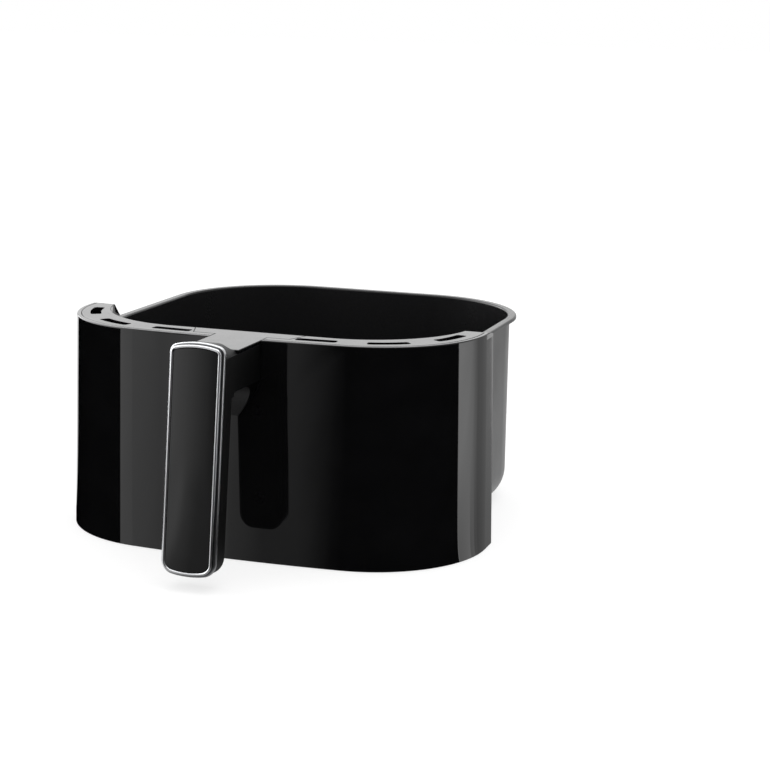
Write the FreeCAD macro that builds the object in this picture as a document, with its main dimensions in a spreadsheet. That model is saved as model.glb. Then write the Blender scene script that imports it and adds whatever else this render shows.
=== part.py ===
# Pull-out drawer of an air fryer: pan, crisper plate, hollow front housing with vent rims, and handle.
# Millimetres, +Z up, the front faces -Y. The origin is the centre of the pan's underside, on the surface
# that the drawer stands on.
import FreeCAD
import Part
import Sketcher
import math
import os

DRIVING_SIZES = {
    # Pan, measured over its flange.
    "pan_width": 268,
    "pan_depth": 264,
    "pan_height": 140,
    "pan_front_corner": 78,
    "pan_rear_corner": 86,
    "pan_wall": 1.5,
    "pan_base_radius": 23,
    "flange_reach": 5,
    "flange_hem": 2.4,
    "flange_bend": 1.5,
    # Crisper plate and its bumpers.
    "plate_gap": 3,
    "plate_level": 22,
    "plate_sheet": 2.2,
    "plate_skirt": 7,
    "plate_skirt_wall": 2,
    "plate_hole": 10,
    "plate_margin": 14,
    "finger_hole": 28,
    "leg_diameter": 16,
    "leg_taper": 6,
    "bumper_length": 26,
    "bumper_lip": 1.6,
    "bumper_grip": 6,
    "bumper_clearance": 0.6,
    "standing_gap": 0.3,
    # Front cover, placed from the pan's flange.
    "cover_beside": 13.7,
    "cover_ahead": 24.2,
    "cover_crown": 868,
    "cover_corner_gain": 1.2,
    "cover_setback": 3.7,
    "cover_rise": 10,
    "cover_foot": 0.5,
    "cover_wall": 3,
    "cover_edge": 0.8,
    "cover_draft": 3,
    "cover_land": 4,
    "tail_drop": 2.5,
    "ledge_reach": 3,
    "ledge_sheet": 2.5,
    "boss_diameter": 9,
    "boss_inset": 7.1,
    "boss_height": 20,
    "boss_spread": 50,
    # Liner at the back of the housing.
    "liner_gap": 2.3,
    "liner_wall": 2.5,
    "liner_floor": 4,
    "liner_drop": 4,
    "liner_window": 62,
    "liner_window_drop": 48,
    # Vent rims and the T-shaped plate between them.
    "rim_sheet": 2.5,
    "rim_wall": 2,
    "rim_overlap": 2,
    "rim_end_run": 11,
    "rim_edge": 0.5,
    "seam": 0.3,
    "slot_inset": 13,
    "slot_width": 7.5,
    "slot_length": 28,
    "slot_pitch": 48,
    "slot_first": 51.5,
    "slot_corner": 2,
    "strip_width": 10.5,
    "ear_root": 39.5,
    "ear_tip": 34,
    # Handle: neck, grip bar, trim ring and insert.
    "neck_width": 36.4,
    "neck_web": 26,
    "neck_insert": 14,
    "arch_radius": 3,
    "gusset_radius": 25,
    "gusset_foot": 7.2,
    "gusset_bulge": 110,
    "gusset_toe": 1.2,
    "neck_plate_reach": 36.4,
    "shoulder_radius": 10,
    "shoulder_turn": 55,
    "handle_width": 36.4,
    "handle_length": 147.5,
    "handle_depth": 21.5,
    "handle_corner": 11.5,
    "handle_back_radius": 4,
    "bar_edge": 0.8,
    "handle_lean": 6.5,
    "head_reach": 61.5,
    "head_rise": 7,
    "ring_depth": 5.6,
    "ring_wall": 3.2,
    "bead_height": 0.9,
    "bead_radius": 1.1,
    "bead_step": 1.15,
    "rear_bead_inset": 0.7,
    "rear_bead_radius": 1.6,
    "channel_start": 1.2,
    "channel_end": 3,
    "channel_radius": 2.4,
    "insert_recess": 0.5,
    "insert_crown": 0.9,
    "insert_fit": 0.2,
    # Bracket and fasteners.
    "bracket_sheet": 2,
    "bracket_width": 92,
    "bracket_height": 44,
    "bracket_top_drop": 6,
    "tongue_width": 22,
    "tongue_drop": 4,
    "tongue_reach": 30,
    "tongue_fit": 0.3,
    "rivet_diameter": 5,
    "rivet_head": 9,
    "rivet_head_height": 1.4,
    "rivet_spread": 40,
    "rivet_rise": 24,
    "screw_diameter": 4,
    "screw_head": 7.5,
    "screw_head_height": 2.4,
    "screw_clearance": 0.4,
    "thread_fit": 0.1,
    "liner_screw_spread": 80,
    "handle_screw_pitch": 14,
    "handle_screw_cover": 1.5,
    "cover_screw_length": 14,
    "insert_screw_drop": 62,
    "insert_screw_pitch": 62,
    "insert_screw_grip": 6,
    "insert_screw_bite": 3.2,
}


class Size:
    """A number and the sheet formula that gives it, so that an outline is drawn and bound from one value."""

    def __init__(self, value, formula):
        self.value = value
        self.formula = formula

    def __add__(self, other):
        other = as_size(other)
        return Size(self.value + other.value, f"({self.formula} + {other.formula})")

    def __sub__(self, other):
        other = as_size(other)
        return Size(self.value - other.value, f"({self.formula} - {other.formula})")

    def __mul__(self, other):
        other = as_size(other)
        return Size(self.value * other.value, f"({self.formula} * {other.formula})")

    def __truediv__(self, other):
        other = as_size(other)
        return Size(self.value / other.value, f"({self.formula} / {other.formula})")

    def __rsub__(self, other):
        return as_size(other) - self

    def __neg__(self):
        return Size(-self.value, f"(0 - {self.formula})")

    __radd__ = __add__
    __rmul__ = __mul__


def as_size(number):
    return number if isinstance(number, Size) else Size(number, f"({number})")


def root(size):
    return Size(math.sqrt(size.value), f"sqrt({size.formula})")


def sine(degrees):
    return Size(math.sin(math.radians(degrees.value)), f"sin({degrees.formula})")


def cosine(degrees):
    return Size(math.cos(math.radians(degrees.value)), f"cos({degrees.formula})")


def arc_angle(arc_length, radius):
    """Angle in degrees that an arc of this length spans."""
    return arc_length / radius * (180 / math.pi)


def arcsine(ratio):
    return Size(math.degrees(math.asin(ratio.value)), f"(asin({ratio.formula}) / 1 deg)")


doc = FreeCAD.newDocument("AirFryerDrawer")
sheet = doc.addObject("Spreadsheet::Sheet", "Sizes")
for row, (alias, number) in enumerate(DRIVING_SIZES.items(), 1):
    sheet.set(f"A{row}", alias)
    sheet.set(f"B{row}", str(number))
    sheet.setAlias(f"B{row}", alias)
doc.recompute()
s = {alias: Size(number, f"Sizes.{alias}") for alias, number in DRIVING_SIZES.items()}


# Drawing: bodies, sketches and features whose sizes stay bound to the sheet.
def new_body(label):
    body = doc.addObject("PartDesign::Body", label)
    body.Label = label
    return body


def new_sketch(body, role="XY_Plane", offset=0):
    """Sketch on one of the body's own planes, moved along the plane's normal."""
    sketch = body.newObject("Sketcher::SketchObject", body.Label + "_sketch")
    support = next(plane for plane in body.Origin.OriginFeatures if plane.Role == role)
    sketch.AttachmentSupport = [(support, "")]
    sketch.MapMode = "FlatFace"
    sketch.setExpression("AttachmentOffset.Base.z", as_size(offset).formula)
    return sketch


def arc_between(start, end, radius, clockwise):
    """Arc of less than half a circle from start to end."""
    if clockwise:
        start, end = end, start
    chord = end - start
    to_centre = FreeCAD.Vector(-chord.y, chord.x, 0).normalize()
    centre = (start + end) * 0.5 + to_centre * math.sqrt(radius ** 2 - (chord.Length / 2) ** 2)
    first = math.atan2(start.y - centre.y, start.x - centre.x)
    last = math.atan2(end.y - centre.y, end.x - centre.x)
    return Part.ArcOfCircle(Part.Circle(centre, FreeCAD.Vector(0, 0, 1), radius), first, last)


def bind(sketch, constraints):
    """Adds (constraint, size) pairs, and ties those that have a size to the sheet."""
    first = sketch.ConstraintCount
    sketch.addConstraint([constraint for constraint, size in constraints])
    for index, (constraint, size) in enumerate(constraints, first):
        if size is not None:
            sketch.setExpression(f"Constraints[{index}]", size.formula)


def draw(sketch, corners):
    """Closed outline, drawn counter-clockwise. A corner is (x, y); (x, y, radius) bends the edge that
    leaves it outwards, and (x, y, radius, "hollow") bends that edge inwards."""
    first = sketch.GeometryCount
    corners = [(as_size(corner[0]), as_size(corner[1])) + tuple(corner[2:]) for corner in corners]
    points = [FreeCAD.Vector(corner[0].value, corner[1].value, 0) for corner in corners]
    count = len(points)
    edges = []
    ends = []
    for index, corner in enumerate(corners):
        start, end = points[index], points[(index + 1) % count]
        hollow = len(corner) == 4
        if len(corner) == 2:
            edges.append(Part.LineSegment(start, end))
        else:
            edges.append(arc_between(start, end, corner[2].value, hollow))
        ends.append((2, 1) if hollow else (1, 2))
    sketch.addGeometry(edges, False)
    constraints = []
    for index, corner in enumerate(corners):
        edge = first + index
        before = first + (index - 1) % count
        start = ends[index][0]
        joint = Sketcher.Constraint("Coincident", before, ends[index - 1][1], edge, start)
        constraints.append((joint, None))
        across = Sketcher.Constraint("DistanceX", -1, 1, edge, start, corner[0].value)
        constraints.append((across, corner[0]))
        along = Sketcher.Constraint("DistanceY", -1, 1, edge, start, corner[1].value)
        constraints.append((along, corner[1]))
        if len(corner) > 2:
            constraints.append((Sketcher.Constraint("Radius", edge, corner[2].value), corner[2]))
    bind(sketch, constraints)


def draw_circle(sketch, x, y, diameter):
    x, y, radius = as_size(x), as_size(y), diameter / 2
    centre = FreeCAD.Vector(x.value, y.value, 0)
    edge = sketch.addGeometry(Part.Circle(centre, FreeCAD.Vector(0, 0, 1), radius.value), False)
    across = Sketcher.Constraint("DistanceX", -1, 1, edge, 3, x.value)
    along = Sketcher.Constraint("DistanceY", -1, 1, edge, 3, y.value)
    bind(sketch, [(across, x), (along, y), (Sketcher.Constraint("Radius", edge, radius.value), radius)])


def box_corners(left, low, right, high):
    return [(left, low), (right, low), (right, high), (left, high)]


def extrude(kind, body, sketch, length, backwards=False, symmetric=False):
    feature = body.newObject(kind, body.Label + "_feature")
    feature.Profile = sketch
    feature.setExpression("Length", as_size(length).formula)
    feature.Reversed = backwards
    feature.SideType = "Symmetric" if symmetric else "One side"
    return feature


def pad(body, sketch, length, **ways):
    feature = extrude("PartDesign::Pad", body, sketch, length, **ways)
    doc.recompute()
    return feature


def pocket(body, sketch, length, **ways):
    before = body.Shape.Volume
    feature = extrude("PartDesign::Pocket", body, sketch, length, **ways)
    doc.recompute()
    if body.Shape.Volume > before - 1e-6:
        raise RuntimeError(f"{body.Label}: a pocket cuts nothing")
    return feature


def loft(body, low, high):
    """Straight-sided solid between two sketches with the same corners."""
    feature = body.newObject("PartDesign::AdditiveLoft", body.Label + "_loft")
    feature.Profile = low
    feature.Sections = [high]
    feature.Ruled = True
    doc.recompute()
    return feature


def fillet(body, radius, chosen):
    """Rounds the edges of the body so far for which chosen(edge) holds."""
    base = body.Tip
    names = [f"Edge{index}" for index, edge in enumerate(base.Shape.Edges, 1) if chosen(edge)]
    feature = body.newObject("PartDesign::Fillet", body.Label + "_fillet")
    feature.Base = (base, names)
    feature.setExpression("Radius", as_size(radius).formula)
    doc.recompute()
    return feature


def at_height(size, tolerance=1e-4):
    """Chooses the edges that lie flat at this height."""
    def chosen(edge):
        box = edge.BoundBox
        return abs(box.ZMin - size.value) < tolerance and abs(box.ZMax - size.value) < tolerance
    return chosen


# Shared places. Heights are from the standing surface, depths from the pan's centre.
pan_x = s["pan_width"] / 2
pan_y = s["pan_depth"] / 2
wall_inset = s["flange_reach"]
cavity_inset = s["flange_reach"] + s["pan_wall"]
wall_front = -(pan_y - wall_inset)
cover_half = pan_x + s["cover_beside"]
cover_front = -(pan_y + s["cover_ahead"])
cover_top = s["pan_height"] + s["cover_rise"]
draft_top = cover_top - s["cover_land"]
rim_under = cover_top - s["rim_sheet"]
rim_foot = s["pan_height"] + s["seam"]
neck_half = s["neck_width"] / 2

# The cover's plan is a shallow front arc between two corner arcs. Offsets keep the arcs' centres.
front_centre = cover_front + s["cover_crown"]
cover_corner = s["pan_front_corner"] + s["cover_corner_gain"]
corner_x = cover_half - cover_corner
centre_gap = s["cover_crown"] - cover_corner
corner_y = front_centre - root(centre_gap * centre_gap - corner_x * corner_x)
turn_angle = arcsine(corner_x / centre_gap)
cover_end = s["pan_front_corner"] - pan_y - s["cover_setback"]
rim_top_end = cover_end - s["rim_end_run"]


def draft_at(height):
    """How far the cover's walls have spread at this height; they spread towards the foot."""
    return s["cover_draft"] * (draft_top - height) / (draft_top - s["cover_foot"])


def pan_outline(inset):
    """Rounded square of the flange's edge, moved inwards; its front corners are a little tighter."""
    x, y = pan_x - inset, pan_y - inset
    front, rear = s["pan_front_corner"] - inset, s["pan_rear_corner"] - inset
    return [
        (front - x, -y), (x - front, -y, front), (x, front - y), (x, y - rear, rear),
        (x - rear, y), (rear - x, y, rear), (-x, y - rear), (-x, front - y, front),
    ]


def pan_side_at(y, inset):
    """Where the front corner of the moved-in flange outline is at depth y."""
    radius = s["pan_front_corner"] - inset
    below = pan_y - s["pan_front_corner"] + y
    return pan_x - s["pan_front_corner"] + root(radius * radius - below * below)


def on_front(x, inset):
    radius = s["cover_crown"] - inset
    return front_centre - root(radius * radius - x * x)


def turn_point(inset):
    """Where the front arc meets the right corner arc."""
    radius = s["cover_crown"] - inset
    return radius * sine(turn_angle), front_centre - radius * cosine(turn_angle)


def on_corner(angle, inset):
    radius = cover_corner - inset
    return corner_x + radius * sine(angle), corner_y - radius * cosine(angle)


def cover_path(inset, end):
    """The cover's outer face moved inwards, from its left end round the front to its right end."""
    turn_x, turn_y = turn_point(inset)
    side = cover_half - inset
    crown, corner = s["cover_crown"] - inset, cover_corner - inset
    return [
        (-side, end), (-side, corner_y, corner), (-turn_x, turn_y, crown),
        (turn_x, turn_y, corner), (side, corner_y), (side, end),
    ]


def cover_band(outer, inner, end):
    """Band between two offsets of the cover's outer face."""
    turn_x, turn_y = turn_point(inner)
    side = cover_half - inner
    crown, corner = s["cover_crown"] - inner, cover_corner - inner
    return cover_path(outer, end) + [
        (side, end), (side, corner_y, corner, "hollow"), (turn_x, turn_y, crown, "hollow"),
        (-turn_x, turn_y, corner, "hollow"), (-side, corner_y), (-side, end),
    ]


def housing_crescent(outer, pan_inset, end):
    """Plan of the hollow front: the cover's offset in front, the pan's offset behind."""
    side = pan_side_at(end, pan_inset)
    corner = s["pan_front_corner"] - pan_inset
    foot_x, foot_y = pan_x - s["pan_front_corner"], pan_inset - pan_y
    return cover_path(outer, end) + [
        (side, end, corner, "hollow"), (foot_x, foot_y),
        (-foot_x, foot_y, corner, "hollow"), (-side, end),
    ]


subparts = []


# Pan: deep drawn sheet, with a flange whose edge is turned down and a generous radius to the base.
pan = new_body("pan")
sketch = new_sketch(pan)
draw(sketch, pan_outline(wall_inset))
pad(pan, sketch, s["pan_height"])
sketch = new_sketch(pan, offset=s["pan_height"] - s["flange_hem"])
draw(sketch, pan_outline(as_size(0)))
pad(pan, sketch, s["flange_hem"])
fillet(pan, s["flange_bend"], at_height(s["pan_height"]))
sketch = new_sketch(pan, offset=s["pan_height"] - s["flange_hem"])
draw(sketch, pan_outline(s["pan_wall"]))
draw(sketch, pan_outline(wall_inset))
pocket(pan, sketch, s["flange_hem"] - s["pan_wall"], backwards=True)
sketch = new_sketch(pan, offset=s["pan_height"])
draw(sketch, pan_outline(cavity_inset))
pocket(pan, sketch, s["pan_height"] - s["pan_wall"])
fillet(pan, s["pan_base_radius"] - s["pan_wall"], at_height(s["pan_wall"]))
fillet(pan, s["pan_base_radius"], at_height(as_size(0)))


def on_mouth(edge):
    reach = max(abs(edge.BoundBox.XMin), abs(edge.BoundBox.XMax))
    return at_height(s["pan_height"])(edge) and reach < (pan_x - wall_inset).value


fillet(pan, s["flange_bend"], on_mouth)

# Rivet rows on the pan's front wall and the bracket.
bracket_top = s["pan_height"] - s["bracket_top_drop"]
bracket_middle = bracket_top - s["bracket_height"] / 2
rivet_places = [
    (side * s["rivet_spread"] / 2, bracket_middle + level * s["rivet_rise"] / 2)
    for side in (-1, 1) for level in (-1, 1)
]
sketch = new_sketch(pan, "XZ_Plane", pan_y)
for x, z in rivet_places:
    draw_circle(sketch, x, z, s["rivet_diameter"])
pocket(pan, sketch, cavity_inset + s["pan_wall"])
subparts.append(pan)


# Crisper plate: cast, with a turned-down skirt, four tapered legs and a field of round holes.
plate_inset = cavity_inset + s["plate_gap"]
plate_top = s["pan_wall"] + s["plate_level"]
plate_under = plate_top - s["plate_sheet"]
plate_x, plate_y = pan_x - plate_inset, pan_y - plate_inset
crisper_plate = new_body("crisper_plate")
sketch = new_sketch(crisper_plate, offset=plate_under - s["plate_skirt"])
draw(sketch, pan_outline(plate_inset))
pad(crisper_plate, sketch, s["plate_skirt"] + s["plate_sheet"])
sketch = new_sketch(crisper_plate, offset=plate_under - s["plate_skirt"])
draw(sketch, pan_outline(plate_inset + s["plate_skirt_wall"]))
pocket(crisper_plate, sketch, s["plate_skirt"], backwards=True)
sketch = new_sketch(crisper_plate, offset=plate_under)
hole_rows = 4
pitch_x = (plate_x - s["plate_margin"]) / hole_rows
pitch_y = (plate_y - s["plate_margin"]) / hole_rows
for side in (-2.5, 2.5):
    for end in (-2.5, 2.5):
        draw_circle(sketch, side * pitch_x, end * pitch_y, s["leg_diameter"])
legs = pad(crisper_plate, sketch, s["plate_level"] - s["plate_sheet"] - s["standing_gap"], backwards=True)
legs.setExpression("TaperAngle", (-s["leg_taper"]).formula)
sketch = new_sketch(crisper_plate, offset=plate_top)
draw_circle(sketch, 0, 0, s["finger_hole"])
corner_limit = hole_rows + 2
for column in range(-hole_rows, hole_rows + 1):
    for line in range(-hole_rows, hole_rows + 1):
        if 0 < abs(column) + abs(line) <= corner_limit:
            draw_circle(sketch, column * pitch_x, line * pitch_y, s["plate_hole"])
pocket(crisper_plate, sketch, s["plate_sheet"])
bumper_half = s["bumper_length"] / 2
sketch = new_sketch(crisper_plate, offset=plate_under - s["plate_skirt"])
cut = s["plate_skirt_wall"] * 2
draw(sketch, box_corners(-bumper_half, -plate_y - cut, bumper_half, cut - plate_y))
draw(sketch, box_corners(-bumper_half, plate_y - cut, bumper_half, plate_y + cut))
draw(sketch, box_corners(-plate_x - cut, -bumper_half, cut - plate_x, bumper_half))
draw(sketch, box_corners(plate_x - cut, -bumper_half, plate_x + cut, bumper_half))
pocket(crisper_plate, sketch, s["plate_skirt"], backwards=True)
subparts.append(crisper_plate)


# Bumpers: silicone channels pushed over the plate's edge where its skirt is cut away.
def make_bumper(label, turn, edge):
    body = new_body(label)
    outline = new_sketch(body, "YZ_Plane")
    reach = s["plate_gap"] - s["bumper_clearance"]
    outside, inside = -(edge + reach), s["bumper_grip"] - edge
    high, low = plate_top + s["bumper_lip"], plate_under - s["bumper_lip"]
    draw(outline, [
        (outside, low), (inside, low), (inside, plate_under), (-edge, plate_under),
        (-edge, plate_top), (inside, plate_top), (inside, high), (outside, high),
    ])
    pad(body, outline, s["bumper_length"], symmetric=True)
    body.Placement = FreeCAD.Placement(FreeCAD.Vector(), FreeCAD.Rotation(FreeCAD.Vector(0, 0, 1), turn))
    return body


bumper_edges = {"front": plate_y, "right": plate_x, "rear": plate_y, "left": plate_x}
for quarter, (side, edge) in enumerate(bumper_edges.items()):
    subparts.append(make_bumper("bumper_" + side, quarter * 90, edge))


# Front cover: gloss shell round the front, with a ledge for the rims, screw bosses and the neck's notch.
neck_under = cover_top - s["neck_web"]
notch_low = neck_under - s["seam"]
liner_under = s["cover_foot"] + s["liner_drop"]
boss_foot = liner_under + s["liner_floor"]
boss_places = []
for side in (-1, 1):
    boss_x = s["boss_spread"] * side
    boss_inset = s["boss_inset"] - draft_at(boss_foot)
    boss_places.append((boss_x, on_front(boss_x, boss_inset)))
    diagonal_x, diagonal_y = on_corner(as_size(45), boss_inset)
    boss_places.append((side * diagonal_x, diagonal_y))
front_cover = new_body("front_cover")
foot = new_sketch(front_cover, offset=s["cover_foot"])
draw(foot, cover_band(-s["cover_draft"], s["cover_wall"] - s["cover_draft"], cover_end))
top = new_sketch(front_cover, offset=draft_top)
draw(top, cover_band(as_size(0), s["cover_wall"], cover_end))
loft(front_cover, foot, top)
sketch = new_sketch(front_cover, offset=draft_top)
draw(sketch, cover_band(as_size(0), s["cover_wall"], cover_end))
pad(front_cover, sketch, cover_top - draft_top)
fillet(front_cover, s["cover_edge"], at_height(cover_top))
sketch = new_sketch(front_cover, "YZ_Plane")
draw(sketch, [
    (rim_top_end, cover_top), (cover_end + s["cover_wall"], cover_top - s["tail_drop"]),
    (cover_end + s["cover_wall"], cover_top + s["cover_wall"]), (rim_top_end, cover_top + s["cover_wall"]),
])
pocket(front_cover, sketch, cover_half * 2 + s["cover_wall"], symmetric=True)
sketch = new_sketch(front_cover, offset=rim_foot - s["ledge_sheet"])
draw(sketch, cover_band(s["cover_wall"] / 2, s["cover_wall"] + s["ledge_reach"], cover_end))
pad(front_cover, sketch, s["ledge_sheet"])
sketch = new_sketch(front_cover, offset=boss_foot)
for x, y in boss_places:
    draw_circle(sketch, x, y, s["boss_diameter"])
pad(front_cover, sketch, s["boss_height"])
sketch = new_sketch(front_cover, offset=boss_foot)
for x, y in boss_places:
    draw_circle(sketch, x, y, s["screw_diameter"] + s["thread_fit"])
pocket(front_cover, sketch, s["cover_screw_length"], backwards=True)
sketch = new_sketch(front_cover, "XZ_Plane", s["cover_wall"] - cover_front)
notch_half = neck_half + s["seam"]
draw(sketch, box_corners(-notch_half, notch_low, notch_half, cover_top + s["cover_wall"]))
pocket(front_cover, sketch, s["cover_wall"] * 3 + s["ledge_reach"])
subparts.append(front_cover)


# Front liner: floor, back wall and end walls of the hollow front, with a window for the bracket.
liner_inset = wall_inset - s["liner_gap"]
liner_outer = s["cover_wall"] + s["seam"]
liner_top = s["pan_height"] - s["flange_hem"] - s["seam"]
liner_back = -(pan_y - liner_inset)
liner_face = liner_back - s["liner_wall"]
front_liner = new_body("front_liner")
foot = new_sketch(front_liner, offset=liner_under)
draw(foot, housing_crescent(liner_outer - draft_at(liner_under), liner_inset, cover_end))
top = new_sketch(front_liner, offset=liner_top)
draw(top, housing_crescent(liner_outer - draft_at(liner_top), liner_inset, cover_end))
loft(front_liner, foot, top)
sketch = new_sketch(front_liner, offset=liner_top)
liner_hollow = liner_inset - s["liner_wall"]
draw(sketch, housing_crescent(-s["cover_draft"], liner_hollow, cover_end - s["liner_wall"]))
pocket(front_liner, sketch, liner_top - boss_foot)
sketch = new_sketch(front_liner, offset=liner_under)
for x, y in boss_places:
    draw_circle(sketch, x, y, s["screw_diameter"] + s["screw_clearance"])
pocket(front_liner, sketch, s["liner_floor"], backwards=True)
sketch = new_sketch(front_liner, "XZ_Plane", s["liner_wall"] - liner_face)
window_half = s["liner_window"] / 2
window_low = liner_top - s["liner_window_drop"]
draw(sketch, box_corners(-window_half, window_low, window_half, liner_top + s["liner_wall"]))
liner_screw_x = s["liner_screw_spread"] / 2
for side in (-1, 1):
    draw_circle(sketch, side * liner_screw_x, bracket_middle, s["screw_diameter"] + s["screw_clearance"])
pocket(front_liner, sketch, s["liner_wall"] * 3)
subparts.append(front_liner)


# Vent rims: hollow mouldings between cover and pan, each with three slots that follow the cover's curve.
# The outer end slopes down to the pan's flange.
rim_outer = s["cover_wall"] + s["seam"]
rim_back = -(pan_y - s["rim_overlap"])
strip_line = cover_front + s["strip_width"]
rim_right = new_body("rim_right")
sketch = new_sketch(rim_right, offset=rim_foot)
start_x = neck_half + s["seam"]
turn_x, turn_y = turn_point(rim_outer)
rim_side = cover_half - rim_outer
rim_corner = s["pan_front_corner"] - s["rim_overlap"]
draw(sketch, [
    (start_x, on_front(start_x, rim_outer), s["cover_crown"] - rim_outer),
    (turn_x, turn_y, cover_corner - rim_outer),
    (rim_side, corner_y), (rim_side, cover_end),
    (pan_side_at(cover_end, s["rim_overlap"]), cover_end, rim_corner, "hollow"),
    (pan_x - s["pan_front_corner"], rim_back),
    (s["ear_root"] + s["seam"], rim_back), (s["ear_tip"] + s["seam"], strip_line), (start_x, strip_line),
])
pad(rim_right, sketch, cover_top - rim_foot)
sketch = new_sketch(rim_right, offset=rim_foot)
hollow_outer = rim_outer + s["rim_wall"]
hollow_inset = s["rim_overlap"] - s["rim_wall"]
hollow_end = rim_top_end
hollow_x = s["ear_root"] + s["seam"] + s["rim_wall"]
turn_x, turn_y = turn_point(hollow_outer)
draw(sketch, [
    (hollow_x, on_front(hollow_x, hollow_outer), s["cover_crown"] - hollow_outer),
    (turn_x, turn_y, cover_corner - hollow_outer),
    (cover_half - hollow_outer, corner_y), (cover_half - hollow_outer, hollow_end),
    (pan_side_at(hollow_end, hollow_inset), hollow_end, s["pan_front_corner"] - hollow_inset, "hollow"),
    (pan_x - s["pan_front_corner"], hollow_inset - pan_y), (hollow_x, hollow_inset - pan_y),
])
pocket(rim_right, sketch, rim_under - rim_foot, backwards=True)
sketch = new_sketch(rim_right, offset=liner_top + s["seam"])
end_inside, end_outside = pan_x + s["seam"], rim_side - s["ledge_reach"]
draw(sketch, box_corners(end_inside, cover_end - s["rim_wall"] * 2, end_outside, cover_end))
pad(rim_right, sketch, rim_under - liner_top - s["seam"])
fillet(rim_right, s["rim_edge"], at_height(cover_top))
sketch = new_sketch(rim_right, "YZ_Plane")
draw(sketch, [
    (rim_top_end, cover_top), (cover_end, rim_foot), (cover_end + s["rim_wall"], rim_foot),
    (cover_end + s["rim_wall"], cover_top + s["rim_wall"]), (rim_top_end, cover_top + s["rim_wall"]),
])
pocket(rim_right, sketch, cover_half * 2, symmetric=True)
slot_crown = s["cover_crown"] - s["slot_inset"]
slot_corner = cover_corner - s["slot_inset"]
turn_length = slot_crown * turn_angle * (math.pi / 180)
sketch = new_sketch(rim_right, offset=cover_top)
for number in range(3):
    middle = s["slot_first"] + number * s["slot_pitch"]
    begin, finish = middle - s["slot_length"] / 2, middle + s["slot_length"] / 2
    wide, narrow = s["slot_inset"] - s["slot_width"] / 2, s["slot_inset"] + s["slot_width"] / 2
    if number == 0:
        outer_radius, inner_radius = s["cover_crown"] - wide, s["cover_crown"] - narrow
        begin, finish = arc_angle(begin, slot_crown), arc_angle(finish, slot_crown)
        places = [
            (radius * sine(angle), front_centre - radius * cosine(angle))
            for radius, angle in (
                (outer_radius, begin), (outer_radius, finish), (inner_radius, finish), (inner_radius, begin))
        ]
    else:
        outer_radius, inner_radius = cover_corner - wide, cover_corner - narrow
        begin = turn_angle + arc_angle(begin - turn_length, slot_corner)
        finish = turn_angle + arc_angle(finish - turn_length, slot_corner)
        places = [
            on_corner(angle, inset)
            for angle, inset in ((begin, wide), (finish, wide), (finish, narrow), (begin, narrow))
        ]
    draw(sketch, [
        places[0] + (outer_radius,), places[1], places[2] + (inner_radius, "hollow"), places[3],
    ])
pocket(rim_right, sketch, s["rim_sheet"])


def on_slot_end(edge):
    box = edge.BoundBox
    upright = box.XLength < 1e-4 and box.YLength < 1e-4
    return upright and abs(box.ZLength - s["rim_sheet"].value) < 1e-4


fillet(rim_right, s["slot_corner"], on_slot_end)
subparts.append(rim_right)
rim_left = doc.addObject("Part::Mirroring", "rim_left")
rim_left.Source = rim_right
rim_left.Normal = FreeCAD.Vector(1, 0, 0)
subparts.append(rim_left)


# Neck plate: the T-shaped flat top, its ears between the rims and its rear edge down to the flange.
plate_front = cover_front - s["neck_plate_reach"]
ear_line = strip_line + s["seam"]
neck_plate = new_body("neck_plate")
sketch = new_sketch(neck_plate, offset=rim_under)
draw(sketch, [
    (-neck_half, plate_front), (neck_half, plate_front), (neck_half, ear_line), (s["ear_tip"], ear_line),
    (s["ear_root"], rim_back), (-s["ear_root"], rim_back), (-s["ear_tip"], ear_line), (-neck_half, ear_line),
])
pad(neck_plate, sketch, s["rim_sheet"])
sketch = new_sketch(neck_plate, offset=rim_foot)
draw(sketch, box_corners(-s["ear_tip"], rim_back - s["rim_wall"], s["ear_tip"], rim_back))
pad(neck_plate, sketch, rim_under - rim_foot)
fillet(neck_plate, s["rim_edge"], at_height(cover_top))
subparts.append(neck_plate)


# Handle parts are drawn upright, with the front face's top edge at their origin, and lean out together.
handle_half = s["handle_width"] / 2
handle_head = cover_front - s["head_reach"]
head_top = cover_top + s["head_rise"]


def lean_out(body):
    body.Placement = FreeCAD.Placement(
        FreeCAD.Vector(), FreeCAD.Rotation(FreeCAD.Vector(-1, 0, 0), s["handle_lean"].value))
    body.setExpression("Placement.Base.y", handle_head.formula)
    body.setExpression("Placement.Base.z", head_top.formula)
    body.setExpression("Placement.Rotation.Angle", s["handle_lean"].formula)


def handle_outline(inset):
    x, corner = handle_half - inset, s["handle_corner"] - inset
    low, high = inset - s["handle_length"], -inset
    return [
        (corner - x, low), (x - corner, low, corner), (x, low + corner), (x, high - corner, corner),
        (x - corner, high), (corner - x, high, corner), (-x, high - corner), (-x, low + corner, corner),
    ]


# Grip: a bar with a rounded back, a shoulder that sinks into the neck's flat top, the neck and its gusset.
grip_bar = new_body("grip_bar")
sketch = new_sketch(grip_bar, "XZ_Plane", -s["ring_depth"])
draw(sketch, handle_outline(as_size(0)))
pad(grip_bar, sketch, s["handle_depth"] - s["ring_depth"], backwards=True)


def at_depth(size):
    """Chooses the edges of the upright bar that lie this far behind its front face."""
    def chosen(edge):
        box = edge.BoundBox
        return abs(box.YMin - size.value) < 1e-4 and abs(box.YMax - size.value) < 1e-4
    return chosen


fillet(grip_bar, s["handle_back_radius"], at_depth(s["handle_depth"]))
fillet(grip_bar, s["bar_edge"], at_depth(s["ring_depth"]))

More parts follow.
